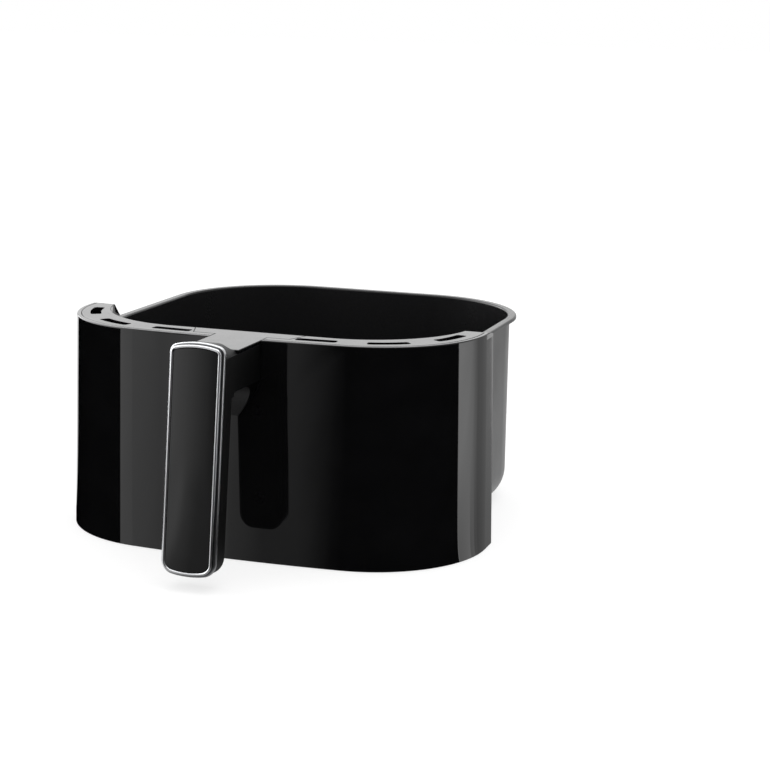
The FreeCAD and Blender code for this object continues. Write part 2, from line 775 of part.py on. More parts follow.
# Two screws in counterbores from the back pull the insert and the trim ring on to the bar.
insert_screw_seat = s["ring_depth"] + s["insert_screw_grip"]
insert_screw_places = [-s["insert_screw_drop"] - number * s["insert_screw_pitch"] for number in range(2)]
sketch = new_sketch(grip_bar, "XZ_Plane", -s["handle_depth"])
for z in insert_screw_places:
    draw_circle(sketch, 0, z, s["screw_head"] + s["screw_clearance"] * 2)
pocket(grip_bar, sketch, s["handle_depth"] - insert_screw_seat, backwards=True)
sketch = new_sketch(grip_bar, "XZ_Plane", -insert_screw_seat)
for z in insert_screw_places:
    draw_circle(sketch, 0, z, s["screw_diameter"] + s["screw_clearance"])
pocket(grip_bar, sketch, s["insert_screw_grip"], backwards=True)
lean_out(grip_bar)

shoulder_span = new_body("shoulder_span")
sketch = new_sketch(shoulder_span, "XZ_Plane", -s["ring_depth"])
draw(sketch, handle_outline(as_size(0)))
pad(shoulder_span, sketch, s["handle_depth"] * 2, backwards=True)
lean_out(shoulder_span)

shoulder_side = new_body("shoulder_side")
sketch = new_sketch(shoulder_side, "YZ_Plane")
bar_middle = handle_head + s["handle_depth"] / 2
blend_y = plate_front - s["shoulder_radius"] * sine(s["shoulder_turn"])
blend_z = cover_top + s["shoulder_radius"] * (1 - cosine(s["shoulder_turn"]))
draw(sketch, [
    (bar_middle, rim_under), (plate_front, rim_under),
    (plate_front, cover_top, s["shoulder_radius"], "hollow"), (blend_y, blend_z), (bar_middle, blend_z),
])
pad(shoulder_side, sketch, s["handle_width"], symmetric=True)
shoulder = doc.addObject("Part::Common", "shoulder")
shoulder.Base = shoulder_span
shoulder.Tool = shoulder_side

neck = new_body("neck")
sketch = new_sketch(neck, "YZ_Plane")
neck_rear = cover_front + s["neck_insert"]
arch_foot = neck_under - s["arch_radius"]
lean_tangent = sine(s["handle_lean"]) / cosine(s["handle_lean"])
bar_front = handle_head - (head_top - arch_foot) * lean_tangent
bar_back = bar_front + s["handle_depth"] / cosine(s["handle_lean"])
bar_inside = bar_back - s["handle_depth"] / 2
draw(sketch, [
    (bar_inside, arch_foot), (bar_back, arch_foot, s["arch_radius"], "hollow"),
    (bar_back + s["arch_radius"], neck_under), (neck_rear, neck_under),
    (neck_rear, rim_under), (bar_inside, rim_under),
])
pad(neck, sketch, s["neck_width"], symmetric=True)

# A leaf-shaped gusset under the neck, hollow towards the fingers, ends in a narrow foot on the cover.
gusset_low = neck_under - s["gusset_radius"]
gusset_high = neck_under + s["gusset_toe"]
gusset_rear = cover_front - draft_at(gusset_low) - s["seam"]
gusset_face = gusset_rear - s["gusset_toe"]
gusset_start = gusset_face - s["gusset_radius"]
gusset_side = new_body("gusset_side")
sketch = new_sketch(gusset_side, "YZ_Plane")
draw(sketch, [
    (gusset_face, gusset_low), (gusset_rear, gusset_low), (gusset_rear, gusset_high),
    (gusset_start, gusset_high), (gusset_start, neck_under, s["gusset_radius"], "hollow"),
])
pad(gusset_side, sketch, s["neck_width"], symmetric=True)
gusset_leaf = new_body("gusset_leaf")
sketch = new_sketch(gusset_leaf, "XZ_Plane", -gusset_rear)
foot_half = s["gusset_foot"] / 2
draw(sketch, [
    (-foot_half, gusset_low), (foot_half, gusset_low, s["gusset_bulge"]), (neck_half, neck_under),
    (neck_half, gusset_high), (-neck_half, gusset_high), (-neck_half, neck_under, s["gusset_bulge"]),
])
pad(gusset_leaf, sketch, gusset_rear - gusset_start)
gusset = doc.addObject("Part::Common", "gusset")
gusset.Base = gusset_side
gusset.Tool = gusset_leaf

# The bracket's tongue slides into the neck from behind; two screws from above hold it.
tongue_under = bracket_top - s["tongue_drop"]
tongue_front = cover_front - s["tongue_reach"]
tongue_half = s["tongue_width"] / 2
sketch = new_sketch(neck, offset=tongue_under - s["tongue_fit"])
fit = s["tongue_fit"]
draw(sketch, box_corners(-tongue_half - fit, tongue_front - fit, tongue_half + fit, neck_rear + fit))
pocket(neck, sketch, s["bracket_sheet"] + fit * 2, backwards=True)
tongue_top = tongue_under + s["bracket_sheet"]
screw_seat = tongue_top + s["screw_head_height"]
handle_screw_length = screw_seat - neck_under - s["handle_screw_cover"]
screw_line = cover_front - s["tongue_reach"] / 2
screw_places = [screw_line + side * s["handle_screw_pitch"] / 2 for side in (-1, 1)]
sketch = new_sketch(neck, offset=rim_under)
for y in screw_places:
    draw_circle(sketch, 0, y, s["screw_head"] + s["screw_clearance"] * 2)
pocket(neck, sketch, rim_under - screw_seat)
sketch = new_sketch(neck, offset=screw_seat)
for y in screw_places:
    draw_circle(sketch, 0, y, s["screw_diameter"] + s["screw_clearance"])
pocket(neck, sketch, handle_screw_length)

handle_grip = doc.addObject("Part::MultiFuse", "handle_grip")
handle_grip.Shapes = [grip_bar, shoulder, neck, gusset]
handle_grip.Refine = True
subparts.append(handle_grip)


# Trim ring: one bright profile, a front bead stepped in from a rear bead with a channel between them,
# swept round the bar's front.
handle_trim_ring = new_body("handle_trim_ring")
ring_path = new_sketch(handle_trim_ring, "XZ_Plane", 0)
draw(ring_path, handle_outline(as_size(0)))
ring_profile = new_sketch(handle_trim_ring, "XY_Plane", -s["handle_length"] / 2)
ring_inside = handle_half - s["ring_wall"]
front_bead = handle_half - s["bead_step"]
rear_bead = handle_half - s["rear_bead_inset"]
draw(ring_profile, [
    (ring_inside, s["ring_depth"]), (ring_inside, s["bead_height"], s["bead_radius"]),
    (front_bead, s["bead_height"]), (front_bead, s["channel_start"], s["channel_radius"], "hollow"),
    (rear_bead, s["channel_end"], s["rear_bead_radius"]), (rear_bead, s["ring_depth"]),
])
ring = handle_trim_ring.newObject("PartDesign::AdditivePipe", "ring_sweep")
ring.Profile = ring_profile
ring.Spine = ring_path
ring.Transition = "Transformed"
doc.recompute()
lean_out(handle_trim_ring)
subparts.append(handle_trim_ring)


# Insert: gloss inlay with a slight crown across its width, set just behind the ring's front bead.
handle_insert = new_body("handle_insert")
insert_inset = s["ring_wall"] + s["insert_fit"]
sketch = new_sketch(handle_insert, "XZ_Plane", -s["insert_recess"])
draw(sketch, handle_outline(insert_inset))
pad(handle_insert, sketch, s["ring_depth"] - s["insert_recess"], backwards=True)
sketch = new_sketch(handle_insert, "XY_Plane", -s["handle_length"] / 2)
insert_edge = s["insert_recess"] + s["insert_crown"]
crown_radius = (handle_half * handle_half + s["insert_crown"] * s["insert_crown"]) / (2 * s["insert_crown"])
draw(sketch, [
    (-handle_half, -s["insert_recess"]), (handle_half, -s["insert_recess"]),
    (handle_half, insert_edge, crown_radius, "hollow"), (-handle_half, insert_edge),
])
pocket(handle_insert, sketch, s["handle_length"], symmetric=True)
sketch = new_sketch(handle_insert, "XZ_Plane", -s["ring_depth"])
for z in insert_screw_places:
    draw_circle(sketch, 0, z, s["screw_diameter"] + s["thread_fit"])
pocket(handle_insert, sketch, s["insert_screw_bite"], backwards=True)
lean_out(handle_insert)
subparts.append(handle_insert)


# Handle bracket: steel plate riveted to the pan's front wall, with a tongue bent forward under the flange.
handle_bracket = new_body("handle_bracket")
bracket_half = s["bracket_width"] / 2
bracket_face = wall_front - s["bracket_sheet"]
sketch = new_sketch(handle_bracket, "XZ_Plane", -wall_front)
draw(sketch, box_corners(-bracket_half, bracket_top - s["bracket_height"], bracket_half, bracket_top))
pad(handle_bracket, sketch, s["bracket_sheet"])
sketch = new_sketch(handle_bracket, "XZ_Plane", -wall_front)
for x, z in rivet_places:
    draw_circle(sketch, x, z, s["rivet_diameter"])
for side in (-1, 1):
    draw_circle(sketch, side * liner_screw_x, bracket_middle, s["screw_diameter"])
pocket(handle_bracket, sketch, s["bracket_sheet"], backwards=True)
sketch = new_sketch(handle_bracket, offset=tongue_under)
draw(sketch, box_corners(-tongue_half, tongue_front, tongue_half, wall_front))
pad(handle_bracket, sketch, s["bracket_sheet"])
sketch = new_sketch(handle_bracket, offset=tongue_under)
for y in screw_places:
    draw_circle(sketch, 0, y, s["screw_diameter"])
pocket(handle_bracket, sketch, s["bracket_sheet"], backwards=True)
subparts.append(handle_bracket)


# Fasteners: shank and head turned about one axis, a row of them in each node.
def make_fastener(name, place, turn, shank, length, heads):
    """Shank along the turned +Z from place, with (start, height, diameter) heads on it."""
    pieces = []
    for start, height, diameter in [(as_size(0), length, shank)] + heads:
        piece = doc.addObject("Part::Cylinder", name + "_turning")
        piece.setExpression("Radius", (diameter / 2).formula)
        piece.setExpression("Height", height.formula)
        piece.Placement = FreeCAD.Placement(FreeCAD.Vector(), turn)
        along = turn.multVec(FreeCAD.Vector(0, 0, 1))
        for axis, base, share in zip("xyz", place, along):
            piece.setExpression(f"Placement.Base.{axis}", (as_size(base) + start * round(share)).formula)
        pieces.append(piece)
    fastener = doc.addObject("Part::MultiFuse", name + "_one")
    fastener.Shapes = pieces
    return fastener


def make_group(label, fasteners):
    group = doc.addObject("Part::Compound", label)
    group.Links = fasteners
    subparts.append(group)
    return group


to_front = FreeCAD.Rotation(FreeCAD.Vector(1, 0, 0), 90)
upwards = FreeCAD.Rotation()
rivet_grip = s["pan_wall"] + s["bracket_sheet"]
cavity_front = wall_front + s["pan_wall"]
rivet_heads = [
    (-s["rivet_head_height"], s["rivet_head_height"], s["rivet_head"]),
    (rivet_grip, s["rivet_head_height"], s["rivet_head"]),
]
make_group("bracket_rivets", [
    make_fastener(
        "bracket_rivet", (x, cavity_front, z), to_front, s["rivet_diameter"], rivet_grip, rivet_heads)
    for x, z in rivet_places
])

liner_screw_length = wall_front - liner_face
make_group("liner_screws", [
    make_fastener(
        "liner_screw", (side * liner_screw_x, wall_front, bracket_middle), to_front, s["screw_diameter"],
        liner_screw_length, [(liner_screw_length, s["screw_head_height"], s["screw_head"])])
    for side in (-1, 1)
])

handle_screw_foot = screw_seat - handle_screw_length
make_group("handle_screws", [
    make_fastener(
        "handle_screw", (0, y, handle_screw_foot), upwards, s["screw_diameter"], handle_screw_length,
        [(handle_screw_length, s["screw_head_height"], s["screw_head"])])
    for y in screw_places
])

cover_screw_length = s["cover_screw_length"] + s["liner_floor"]
make_group("cover_screws", [
    make_fastener(
        "cover_screw", (x, y, liner_under), upwards, s["screw_diameter"], cover_screw_length,
        [(-s["screw_head_height"], s["screw_head_height"], s["screw_head"])])
    for x, y in boss_places
])

insert_screw_length = s["insert_screw_grip"] + s["insert_screw_bite"]
insert_screws = make_group("insert_screws", [
    make_fastener(
        "insert_screw", (0, insert_screw_seat, z), to_front, s["screw_diameter"], insert_screw_length,
        [(-s["screw_head_height"], s["screw_head_height"], s["screw_head"])])
    for z in insert_screw_places
])
lean_out(insert_screws)


# Check the whole document before writing one file for each piece.
doc.recompute()
for item in doc.Objects:
    if "Invalid" in item.State or "Error" in item.State:
        raise RuntimeError(f"{item.Label} failed: {item.State}")
for item in subparts:
    if item.Shape.isNull() or not item.Shape.isValid() or not item.Shape.Solids:
        raise RuntimeError(f"{item.Label} has no valid solid")

os.makedirs("parts", exist_ok=True)
for item in subparts:
    item.Shape.exportStep(f"parts/{item.Label}.step")
    box = item.Shape.BoundBox
    print(f"{item.Label}: {len(item.Shape.Solids)} solids, {item.Shape.Volume / 1000:.1f} cm3, "
          f"X {box.XMin:.1f} {box.XMax:.1f} Y {box.YMin:.1f} {box.YMax:.1f} Z {box.ZMin:.1f} {box.ZMax:.1f}")
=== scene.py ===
import math

import bpy
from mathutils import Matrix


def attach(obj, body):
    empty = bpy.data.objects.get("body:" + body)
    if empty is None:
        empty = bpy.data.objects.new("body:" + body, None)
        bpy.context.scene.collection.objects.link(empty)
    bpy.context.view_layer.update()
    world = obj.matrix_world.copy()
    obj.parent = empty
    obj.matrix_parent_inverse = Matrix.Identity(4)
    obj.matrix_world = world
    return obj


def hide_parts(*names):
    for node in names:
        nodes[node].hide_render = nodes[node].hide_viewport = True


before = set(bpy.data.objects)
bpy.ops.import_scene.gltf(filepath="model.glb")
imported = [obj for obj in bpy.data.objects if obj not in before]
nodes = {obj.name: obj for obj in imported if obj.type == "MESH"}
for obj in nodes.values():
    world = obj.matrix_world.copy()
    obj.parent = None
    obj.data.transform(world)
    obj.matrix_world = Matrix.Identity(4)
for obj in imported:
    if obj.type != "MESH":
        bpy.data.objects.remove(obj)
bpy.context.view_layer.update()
bpy.ops.object.select_all(action="DESELECT")


# Pan: one aluminium sheet deep-drawn into a rounded square, its edge turned out and hemmed into the flange
# that the drawer hangs by. Black non-stick is sprayed inside and baked; the outside has a thin grey coat.
def linear(hex_colour):
    """Linear colour for a shader socket from an sRGB hex value."""
    channels = [int(hex_colour[place:place + 2], 16) / 255 for place in (1, 3, 5)]
    return [c / 12.92 if c <= 0.04045 else ((c + 0.055) / 1.055) ** 2.4 for c in channels] + [1.0]


def new_material(name):
    """A material with no nodes yet."""
    material = bpy.data.materials.new(name)
    material.use_nodes = True
    material.node_tree.nodes.clear()
    return material


def add_node(owner, kind, *in_order, settings=None, stops=(), **by_name):
    """Adds a shader node. Inputs take a value or another node's output, in order or by socket name."""
    node = owner.node_tree.nodes.new("ShaderNode" + kind)
    for name, value in (settings or {}).items():
        setattr(node, name, value)
    for number, (position, colour) in enumerate(stops):
        elements = node.color_ramp.elements
        element = elements[number] if number < 2 else elements.new(position)
        element.position, element.color = position, linear(colour)
    sockets = list(zip(node.inputs, in_order))
    sockets += [(node.inputs[name.replace("_", " ")], value) for name, value in by_name.items()]
    for socket, value in sockets:
        if isinstance(value, bpy.types.NodeSocket):
            owner.node_tree.links.new(value, socket)
        else:
            socket.default_value = value
    return node


def per_mm(millimetres):
    """Texture scale that makes a pattern's cells this wide."""
    return 1000 / millimetres


def give(material, *names):
    """Puts a finish on CAD nodes."""
    for name in names:
        slots = nodes[name].data.materials
        slots.clear()
        slots.append(material)


# Baked non-stick on drawn sheet: a dark satin face with specks under a millimetre wide and a faint
# orange-peel. Outside, where less is sprayed, the grey primer shows through and the face is flatter.
drawn_coat = new_material("nonstick_on_drawn_aluminium")
place = add_node(drawn_coat, "TexCoord").outputs["Object"]
facing = add_node(drawn_coat, "TexCoord").outputs["Normal"]
from_middle = add_node(drawn_coat, "VectorMath", place, (1, 1, 0), settings={"operation": "MULTIPLY"})
outward = add_node(
    drawn_coat, "VectorMath", from_middle.outputs["Vector"], facing, settings={"operation": "DOT_PRODUCT"})
outside = add_node(drawn_coat, "MapRange", Value=outward.outputs["Value"], From_Min=0.02, From_Max=0.05)
specks = add_node(drawn_coat, "TexNoise", Vector=place, Scale=per_mm(0.9), Detail=3.0)
fleck = add_node(drawn_coat, "Math", specks.outputs["Fac"], 0.4, settings={"operation": "MULTIPLY"})
shade = add_node(
    drawn_coat, "Math", outside.outputs["Result"], 0.6, fleck.outputs["Value"],
    settings={"operation": "MULTIPLY_ADD"})
tone = add_node(drawn_coat, "ValToRGB", Fac=shade.outputs["Value"], stops=[
    (0.12, "#1a1a1b"), (0.3, "#202021"), (0.72, "#1e1f20"), (0.9, "#292a2b")])
bake = add_node(drawn_coat, "TexNoise", Vector=place, Scale=per_mm(35), Detail=4.0)
uneven = add_node(drawn_coat, "MapRange", Value=bake.outputs["Fac"], To_Min=0.2, To_Max=0.3)
sheen = add_node(
    drawn_coat, "Math", outside.outputs["Result"], 0.11, uneven.outputs["Result"],
    settings={"operation": "MULTIPLY_ADD"})
peel = add_node(drawn_coat, "TexNoise", Vector=place, Scale=per_mm(2), Detail=2.0)
relief = add_node(drawn_coat, "Bump", Height=peel.outputs["Fac"], Distance=0.00003, Strength=0.4)
surface = add_node(
    drawn_coat, "BsdfPrincipled", Base_Color=tone.outputs["Color"], Roughness=sheen.outputs["Value"],
    Normal=relief.outputs["Normal"], IOR=1.4)
add_node(drawn_coat, "OutputMaterial", Surface=surface.outputs["BSDF"])
give(drawn_coat, "pan")

# Crisper plate: cast aluminium with drilled drain holes and four legs, shot-blasted and then coated with the
# same non-stick. The blasted skin shows through as a grain, and washing leaves the coat unevenly dull.
cast_coat = new_material("nonstick_on_cast_aluminium")
place = add_node(cast_coat, "TexCoord").outputs["Object"]
specks = add_node(cast_coat, "TexNoise", Vector=place, Scale=per_mm(0.8), Detail=3.0)
tone = add_node(
    cast_coat, "ValToRGB", Fac=specks.outputs["Fac"], stops=[(0.35, "#0f0f10"), (0.72, "#1c1c1d")])
washed = add_node(cast_coat, "TexNoise", Vector=place, Scale=per_mm(28), Detail=5.0)
sheen = add_node(cast_coat, "MapRange", Value=washed.outputs["Fac"], To_Min=0.26, To_Max=0.46)
blasted = add_node(cast_coat, "TexNoise", Vector=place, Scale=per_mm(1.2), Detail=4.0)
relief = add_node(cast_coat, "Bump", Height=blasted.outputs["Fac"], Distance=0.00008, Strength=0.5)
surface = add_node(
    cast_coat, "BsdfPrincipled", Base_Color=tone.outputs["Color"], Roughness=sheen.outputs["Result"],
    Normal=relief.outputs["Normal"], IOR=1.4)
add_node(cast_coat, "OutputMaterial", Surface=surface.outputs["BSDF"])
give(cast_coat, "crisper_plate")

# Bumpers: four moulded silicone channels pushed on the plate's edge, so that it doesn't scratch the pan.
# Silicone is matt and draws dust, which shows as a paler bloom. Its skin is drawn coarser than it is, so that
# it shows.
silicone = new_material("moulded_silicone")
place = add_node(silicone, "TexCoord").outputs["Object"]
dust = add_node(silicone, "TexNoise", Vector=place, Scale=per_mm(3), Detail=5.0)
tone = add_node(silicone, "ValToRGB", Fac=dust.outputs["Fac"], stops=[(0.35, "#1c1c1d"), (0.75, "#303031")])
sheen = add_node(silicone, "MapRange", Value=dust.outputs["Fac"], To_Min=0.55, To_Max=0.75)
skin = add_node(silicone, "TexNoise", Vector=place, Scale=per_mm(0.7), Detail=2.0)
relief = add_node(silicone, "Bump", Height=skin.outputs["Fac"], Distance=0.00004, Strength=0.4)
surface = add_node(
    silicone, "BsdfPrincipled", Base_Color=tone.outputs["Color"], Roughness=sheen.outputs["Result"],
    Normal=relief.outputs["Normal"], IOR=1.41)
add_node(silicone, "OutputMaterial", Surface=surface.outputs["BSDF"])
give(silicone, "bumper_front", "bumper_right", "bumper_rear", "bumper_left")

# Handle bracket: folded steel sheet, riveted through the pan's front wall, with a tongue that carries the
# handle. Bright zinc plating over rolled sheet gives a grey metal with faint cold tints and a long grain,
# which is drawn coarser than it is, so that it shows.
zinc_sheet = new_material("zinc_plated_rolled_steel")
place = add_node(zinc_sheet, "TexCoord").outputs["Object"]
along_roll = add_node(zinc_sheet, "Mapping", Vector=place, Scale=(0.06, 1, 1))
grain = add_node(zinc_sheet, "TexNoise", Vector=along_roll.outputs["Vector"], Scale=per_mm(0.8), Detail=4.0)
tint = add_node(zinc_sheet, "TexNoise", Vector=place, Scale=per_mm(9), Detail=3.0)
tone = add_node(zinc_sheet, "ValToRGB", Fac=tint.outputs["Fac"], stops=[(0.3, "#aab1b7"), (0.7, "#c3c2b8")])
sheen = add_node(zinc_sheet, "MapRange", Value=grain.outputs["Fac"], To_Min=0.24, To_Max=0.44)
relief = add_node(zinc_sheet, "Bump", Height=grain.outputs["Fac"], Distance=0.00002, Strength=0.4)
surface = add_node(
    zinc_sheet, "BsdfPrincipled", Base_Color=tone.outputs["Color"], Metallic=1.0,
    Roughness=sheen.outputs["Result"], Normal=relief.outputs["Normal"])
add_node(zinc_sheet, "OutputMaterial", Surface=surface.outputs["BSDF"])
give(zinc_sheet, "handle_bracket")

# Rivets: four cold-headed steel rivets, set from inside the pan, with a low dome there and an upset tail on
# the bracket. They are plated with zinc in a barrel, and the tumbling leaves small dents and a soft shine.
zinc_barrel = new_material("zinc_barrel_plated_steel")
place = add_node(zinc_barrel, "TexCoord").outputs["Object"]
dents = add_node(zinc_barrel, "TexNoise", Vector=place, Scale=per_mm(1.5), Detail=4.0)
tone = add_node(
    zinc_barrel, "ValToRGB", Fac=dents.outputs["Fac"], stops=[(0.3, "#a4a9ad"), (0.7, "#c4c6c8")])
sheen = add_node(zinc_barrel, "MapRange", Value=dents.outputs["Fac"], To_Min=0.3, To_Max=0.42)
relief = add_node(zinc_barrel, "Bump", Height=dents.outputs["Fac"], Distance=0.00003, Strength=0.4)
surface = add_node(
    zinc_barrel, "BsdfPrincipled", Base_Color=tone.outputs["Color"], Metallic=1.0,
    Roughness=sheen.outputs["Result"], Normal=relief.outputs["Normal"])
add_node(zinc_barrel, "OutputMaterial", Surface=surface.outputs["BSDF"])


def finish_piece(piece, name, node, material, crease):
    """Shades a finished piece, gives it its material and sets it on the drawer in place of a CAD node."""
    bpy.ops.object.shade_smooth_by_angle(angle=math.radians(crease))
    piece.name = name
    piece.data.name = name
    piece.data.materials.clear()
    piece.data.materials.append(material)
    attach(piece, "drawer")
    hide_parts(node)


def turn_solid(rings):
    """Draws a disc out ring by ring along +Z into a turned solid; a ring is a radius and a height in mm."""
    radius, height = rings[0]
    bpy.ops.mesh.primitive_circle_add(
        vertices=32, radius=radius / 1000, fill_type="NGON", location=(0, 0, height / 1000))
    piece = bpy.context.object
    bpy.ops.object.transform_apply(location=True, rotation=True, scale=True)
    bpy.ops.object.mode_set(mode="EDIT")
    bpy.ops.mesh.select_all(action="SELECT")
    for next_radius, next_height in rings[1:]:
        rise, spread = (next_height - height) / 1000, next_radius / radius
        bpy.ops.mesh.extrude_region_move(TRANSFORM_OT_translate={"value": (0, 0, rise)})
        bpy.ops.transform.resize(value=(spread, spread, 1), center_override=(0, 0, next_height / 1000))
        radius, height = next_radius, next_height
    bpy.ops.mesh.select_all(action="SELECT")
    bpy.ops.mesh.normals_make_consistent(inside=False)
    bpy.ops.object.mode_set(mode="OBJECT")
    return piece


def set_in_places(pattern, places, tilt):
    """Copies a turned solid to places in mm, tilted about X in degrees, and joins the copies to one piece."""
    copies = []
    for x, y, z in places:
        bpy.ops.object.select_all(action="DESELECT")
        pattern.select_set(True)
        bpy.context.view_layer.objects.active = pattern
        bpy.ops.object.duplicate()
        copy = bpy.context.object
        copy.location = (x / 1000, y / 1000, z / 1000)
        copy.rotation_euler = (math.radians(tilt), 0, 0)
        bpy.ops.object.transform_apply(location=True, rotation=True, scale=True)
        copies.append(copy)
    bpy.data.objects.remove(pattern)
    bpy.ops.object.select_all(action="DESELECT")
    for copy in copies:
        copy.select_set(True)
    bpy.context.view_layer.objects.active = copies[0]
    bpy.ops.object.join()
    return bpy.context.object


upset_tail = [(2.9, -6.3), (4.1, -5.9), (4.5, -5.3), (4.5, -4.9)]
shank = [(2.5, -4.9), (2.5, -1.4)]
low_dome = [(4.5, -1.4), (4.5, -1.1), (4.1, -0.6), (3.1, -0.2), (1.6, 0.0)]
rivet = turn_solid(upset_tail + shank + low_dome)
dome_tops = -124.1
rivets = set_in_places(rivet, [(x, dome_tops, z) for x in (-20, 20) for z in (100, 124)], tilt=-90)
finish_piece(rivets, "domed_rivets", "bracket_rivets", zinc_barrel, crease=40)

# Liner and handle screws: two pairs of pan-head steel screws, plated in the same barrel. One pair holds the
# liner to the bracket, and the other the neck to the bracket's tongue, both inside the closed front.
give(zinc_barrel, "liner_screws", "handle_screws")

# Front liner: the back of the hollow front, moulded in glass-filled PBT because it faces the hot pan.
# A spark-eroded mould leaves a fine matt grain, and the glass shows as slightly paler flecks. Both are drawn
# coarser than they are, so that they show.
filled_pbt = new_material("glass_filled_pbt")
place = add_node(filled_pbt, "TexCoord").outputs["Object"]
flecks = add_node(filled_pbt, "TexNoise", Vector=place, Scale=per_mm(1.4), Detail=4.0)
tone = add_node(
    filled_pbt, "ValToRGB", Fac=flecks.outputs["Fac"], stops=[(0.4, "#111112"), (0.8, "#1d1d1e")])
sheen = add_node(filled_pbt, "MapRange", Value=flecks.outputs["Fac"], To_Min=0.42, To_Max=0.6)
spark = add_node(filled_pbt, "TexNoise", Vector=place, Scale=per_mm(0.6), Detail=2.0)
relief = add_node(filled_pbt, "Bump", Height=spark.outputs["Fac"], Distance=0.00005, Strength=0.6)
surface = add_node(
    filled_pbt, "BsdfPrincipled", Base_Color=tone.outputs["Color"], Roughness=sheen.outputs["Result"],
    Normal=relief.outputs["Normal"], IOR=1.55)
add_node(filled_pbt, "OutputMaterial", Surface=surface.outputs["BSDF"])
give(filled_pbt, "front_liner")

# Front cover: one ABS moulding from a mirror-polished mould, screwed to the liner from below. It mirrors the
# studio sharply; only wiping marks dull it a little, and the wall's shrinkage bends the mirror very slightly.
piano_black = new_material("piano_black_abs")
place = add_node(piano_black, "TexCoord").outputs["Object"]
wiped = add_node(piano_black, "TexNoise", Vector=place, Scale=per_mm(22), Detail=6.0)
sheen = add_node(piano_black, "MapRange", Value=wiped.outputs["Fac"], To_Min=0.01, To_Max=0.05)
tone = add_node(
    piano_black, "ValToRGB", Fac=wiped.outputs["Fac"], stops=[(0.3, "#0c0c0d"), (0.75, "#101011")])
shrink = add_node(piano_black, "TexNoise", Vector=place, Scale=per_mm(60), Detail=0.0)
relief = add_node(piano_black, "Bump", Height=shrink.outputs["Fac"], Distance=0.00003, Strength=0.3)
surface = add_node(
    piano_black, "BsdfPrincipled", Base_Color=tone.outputs["Color"], Roughness=sheen.outputs["Result"],
    Normal=relief.outputs["Normal"], IOR=1.5)
add_node(piano_black, "OutputMaterial", Surface=surface.outputs["BSDF"])
give(piano_black, "front_cover")


# Cover screws: four pan-head steel screws with a cross recess, driven from below through the liner's floor
# into the cover's bosses. They have the rivets' barrel plating.
def apply_boolean(piece, tool, operation):
    """Cuts a tool out of a piece, or keeps only what they share, and takes the tool away."""
    boolean = piece.modifiers.new("boolean", "BOOLEAN")
    boolean.operation = operation
    boolean.solver = "EXACT"
    boolean.object = tool
    bpy.ops.object.select_all(action="DESELECT")
    piece.select_set(True)
    bpy.context.view_layer.objects.active = piece
    bpy.ops.object.modifier_apply(modifier=boolean.name)
    bpy.data.objects.remove(tool)


def cross_screw(length):
    """A pan-head screw along +Z with its seat at zero, a shank of this many mm and a cross recess."""
    head_height = 2.4
    arm_width, arm_length, recess_depth = 0.9, 4.2, 1.4
    shank = [(1.2, -length), (2.0, 1 - length), (2.0, 0.0)]
    pan_head = [(3.75, 0.0), (3.75, 1.1), (3.55, 1.7), (3.0, 2.15), (2.0, head_height)]
    screw = turn_solid(shank + pan_head)
    for wide, long in ((arm_width, arm_length), (arm_length, arm_width)):
        bpy.ops.mesh.primitive_cube_add(
            size=1, location=(0, 0, head_height / 1000),
            scale=(wide / 1000, long / 1000, 2 * recess_depth / 1000))
        cutter = bpy.context.object
        bpy.ops.object.transform_apply(location=True, rotation=True, scale=True)
        apply_boolean(screw, cutter, "DIFFERENCE")
    return screw


seat_height = 4.5
bosses = [(-121.487, -127.007), (-50, -150.487), (50, -150.487), (121.487, -127.007)]
cover_screws = set_in_places(cross_screw(18), [(x, y, seat_height) for x, y in bosses], tilt=180)
finish_piece(cover_screws, "cross_screws_below", "cover_screws", zinc_barrel, crease=40)

# Vent rims and neck plate: flat ABS caps clipped into the top of the front. Their edges are polished like the
# cover that they carry on. Their tops are moulded satin, so at a low angle they turn pale grey, with a fine
# grain drawn here at twice its size so that it shows. Their colour is also painted paler on faces that point
# up than on the sides, as painted light.
satin_abs = new_material("satin_moulded_abs")
place = add_node(satin_abs, "TexCoord").outputs["Object"]
facing = add_node(satin_abs, "SeparateXYZ", add_node(satin_abs, "TexCoord").outputs["Normal"])
satin_top_and_painted_light = add_node(satin_abs, "MapRange", Value=facing.outputs["Z"], From_Min=0.3, From_Max=0.7)
grain = add_node(satin_abs, "TexNoise", Vector=place, Scale=per_mm(0.7), Detail=3.0)
fleck = add_node(satin_abs, "Math", grain.outputs["Fac"], 0.4, settings={"operation": "MULTIPLY"})
shade = add_node(
    satin_abs, "Math", satin_top_and_painted_light.outputs["Result"], 0.6, fleck.outputs["Value"],
    settings={"operation": "MULTIPLY_ADD"})
# Painted light: faces that point up get a paler base colour than the sides, mixed with the grain's flecks.
tone = add_node(satin_abs, "ValToRGB", Fac=shade.outputs["Value"], stops=[
    (0.12, "#0c0c0d"), (0.3, "#101011"), (0.72, "#161617"), (0.9, "#202021")])
rubbed = add_node(satin_abs, "TexNoise", Vector=place, Scale=per_mm(14), Detail=4.0)
uneven = add_node(satin_abs, "MapRange", Value=rubbed.outputs["Fac"], To_Min=0.02, To_Max=0.1)
sheen = add_node(
    satin_abs, "Math", satin_top_and_painted_light.outputs["Result"], 0.15, uneven.outputs["Result"],
    settings={"operation": "MULTIPLY_ADD"})
roughened = add_node(satin_abs, "MapRange", Value=satin_top_and_painted_light.outputs["Result"], To_Min=0.02, To_Max=0.3)
relief = add_node(
    satin_abs, "Bump", Height=grain.outputs["Fac"], Distance=0.00001, Strength=roughened.outputs["Result"])
surface = add_node(
    satin_abs, "BsdfPrincipled", Base_Color=tone.outputs["Color"], Roughness=sheen.outputs["Value"],
    Normal=relief.outputs["Normal"], IOR=1.6)
add_node(satin_abs, "OutputMaterial", Surface=surface.outputs["BSDF"])
give(satin_abs, "rim_right", "rim_left", "neck_plate")

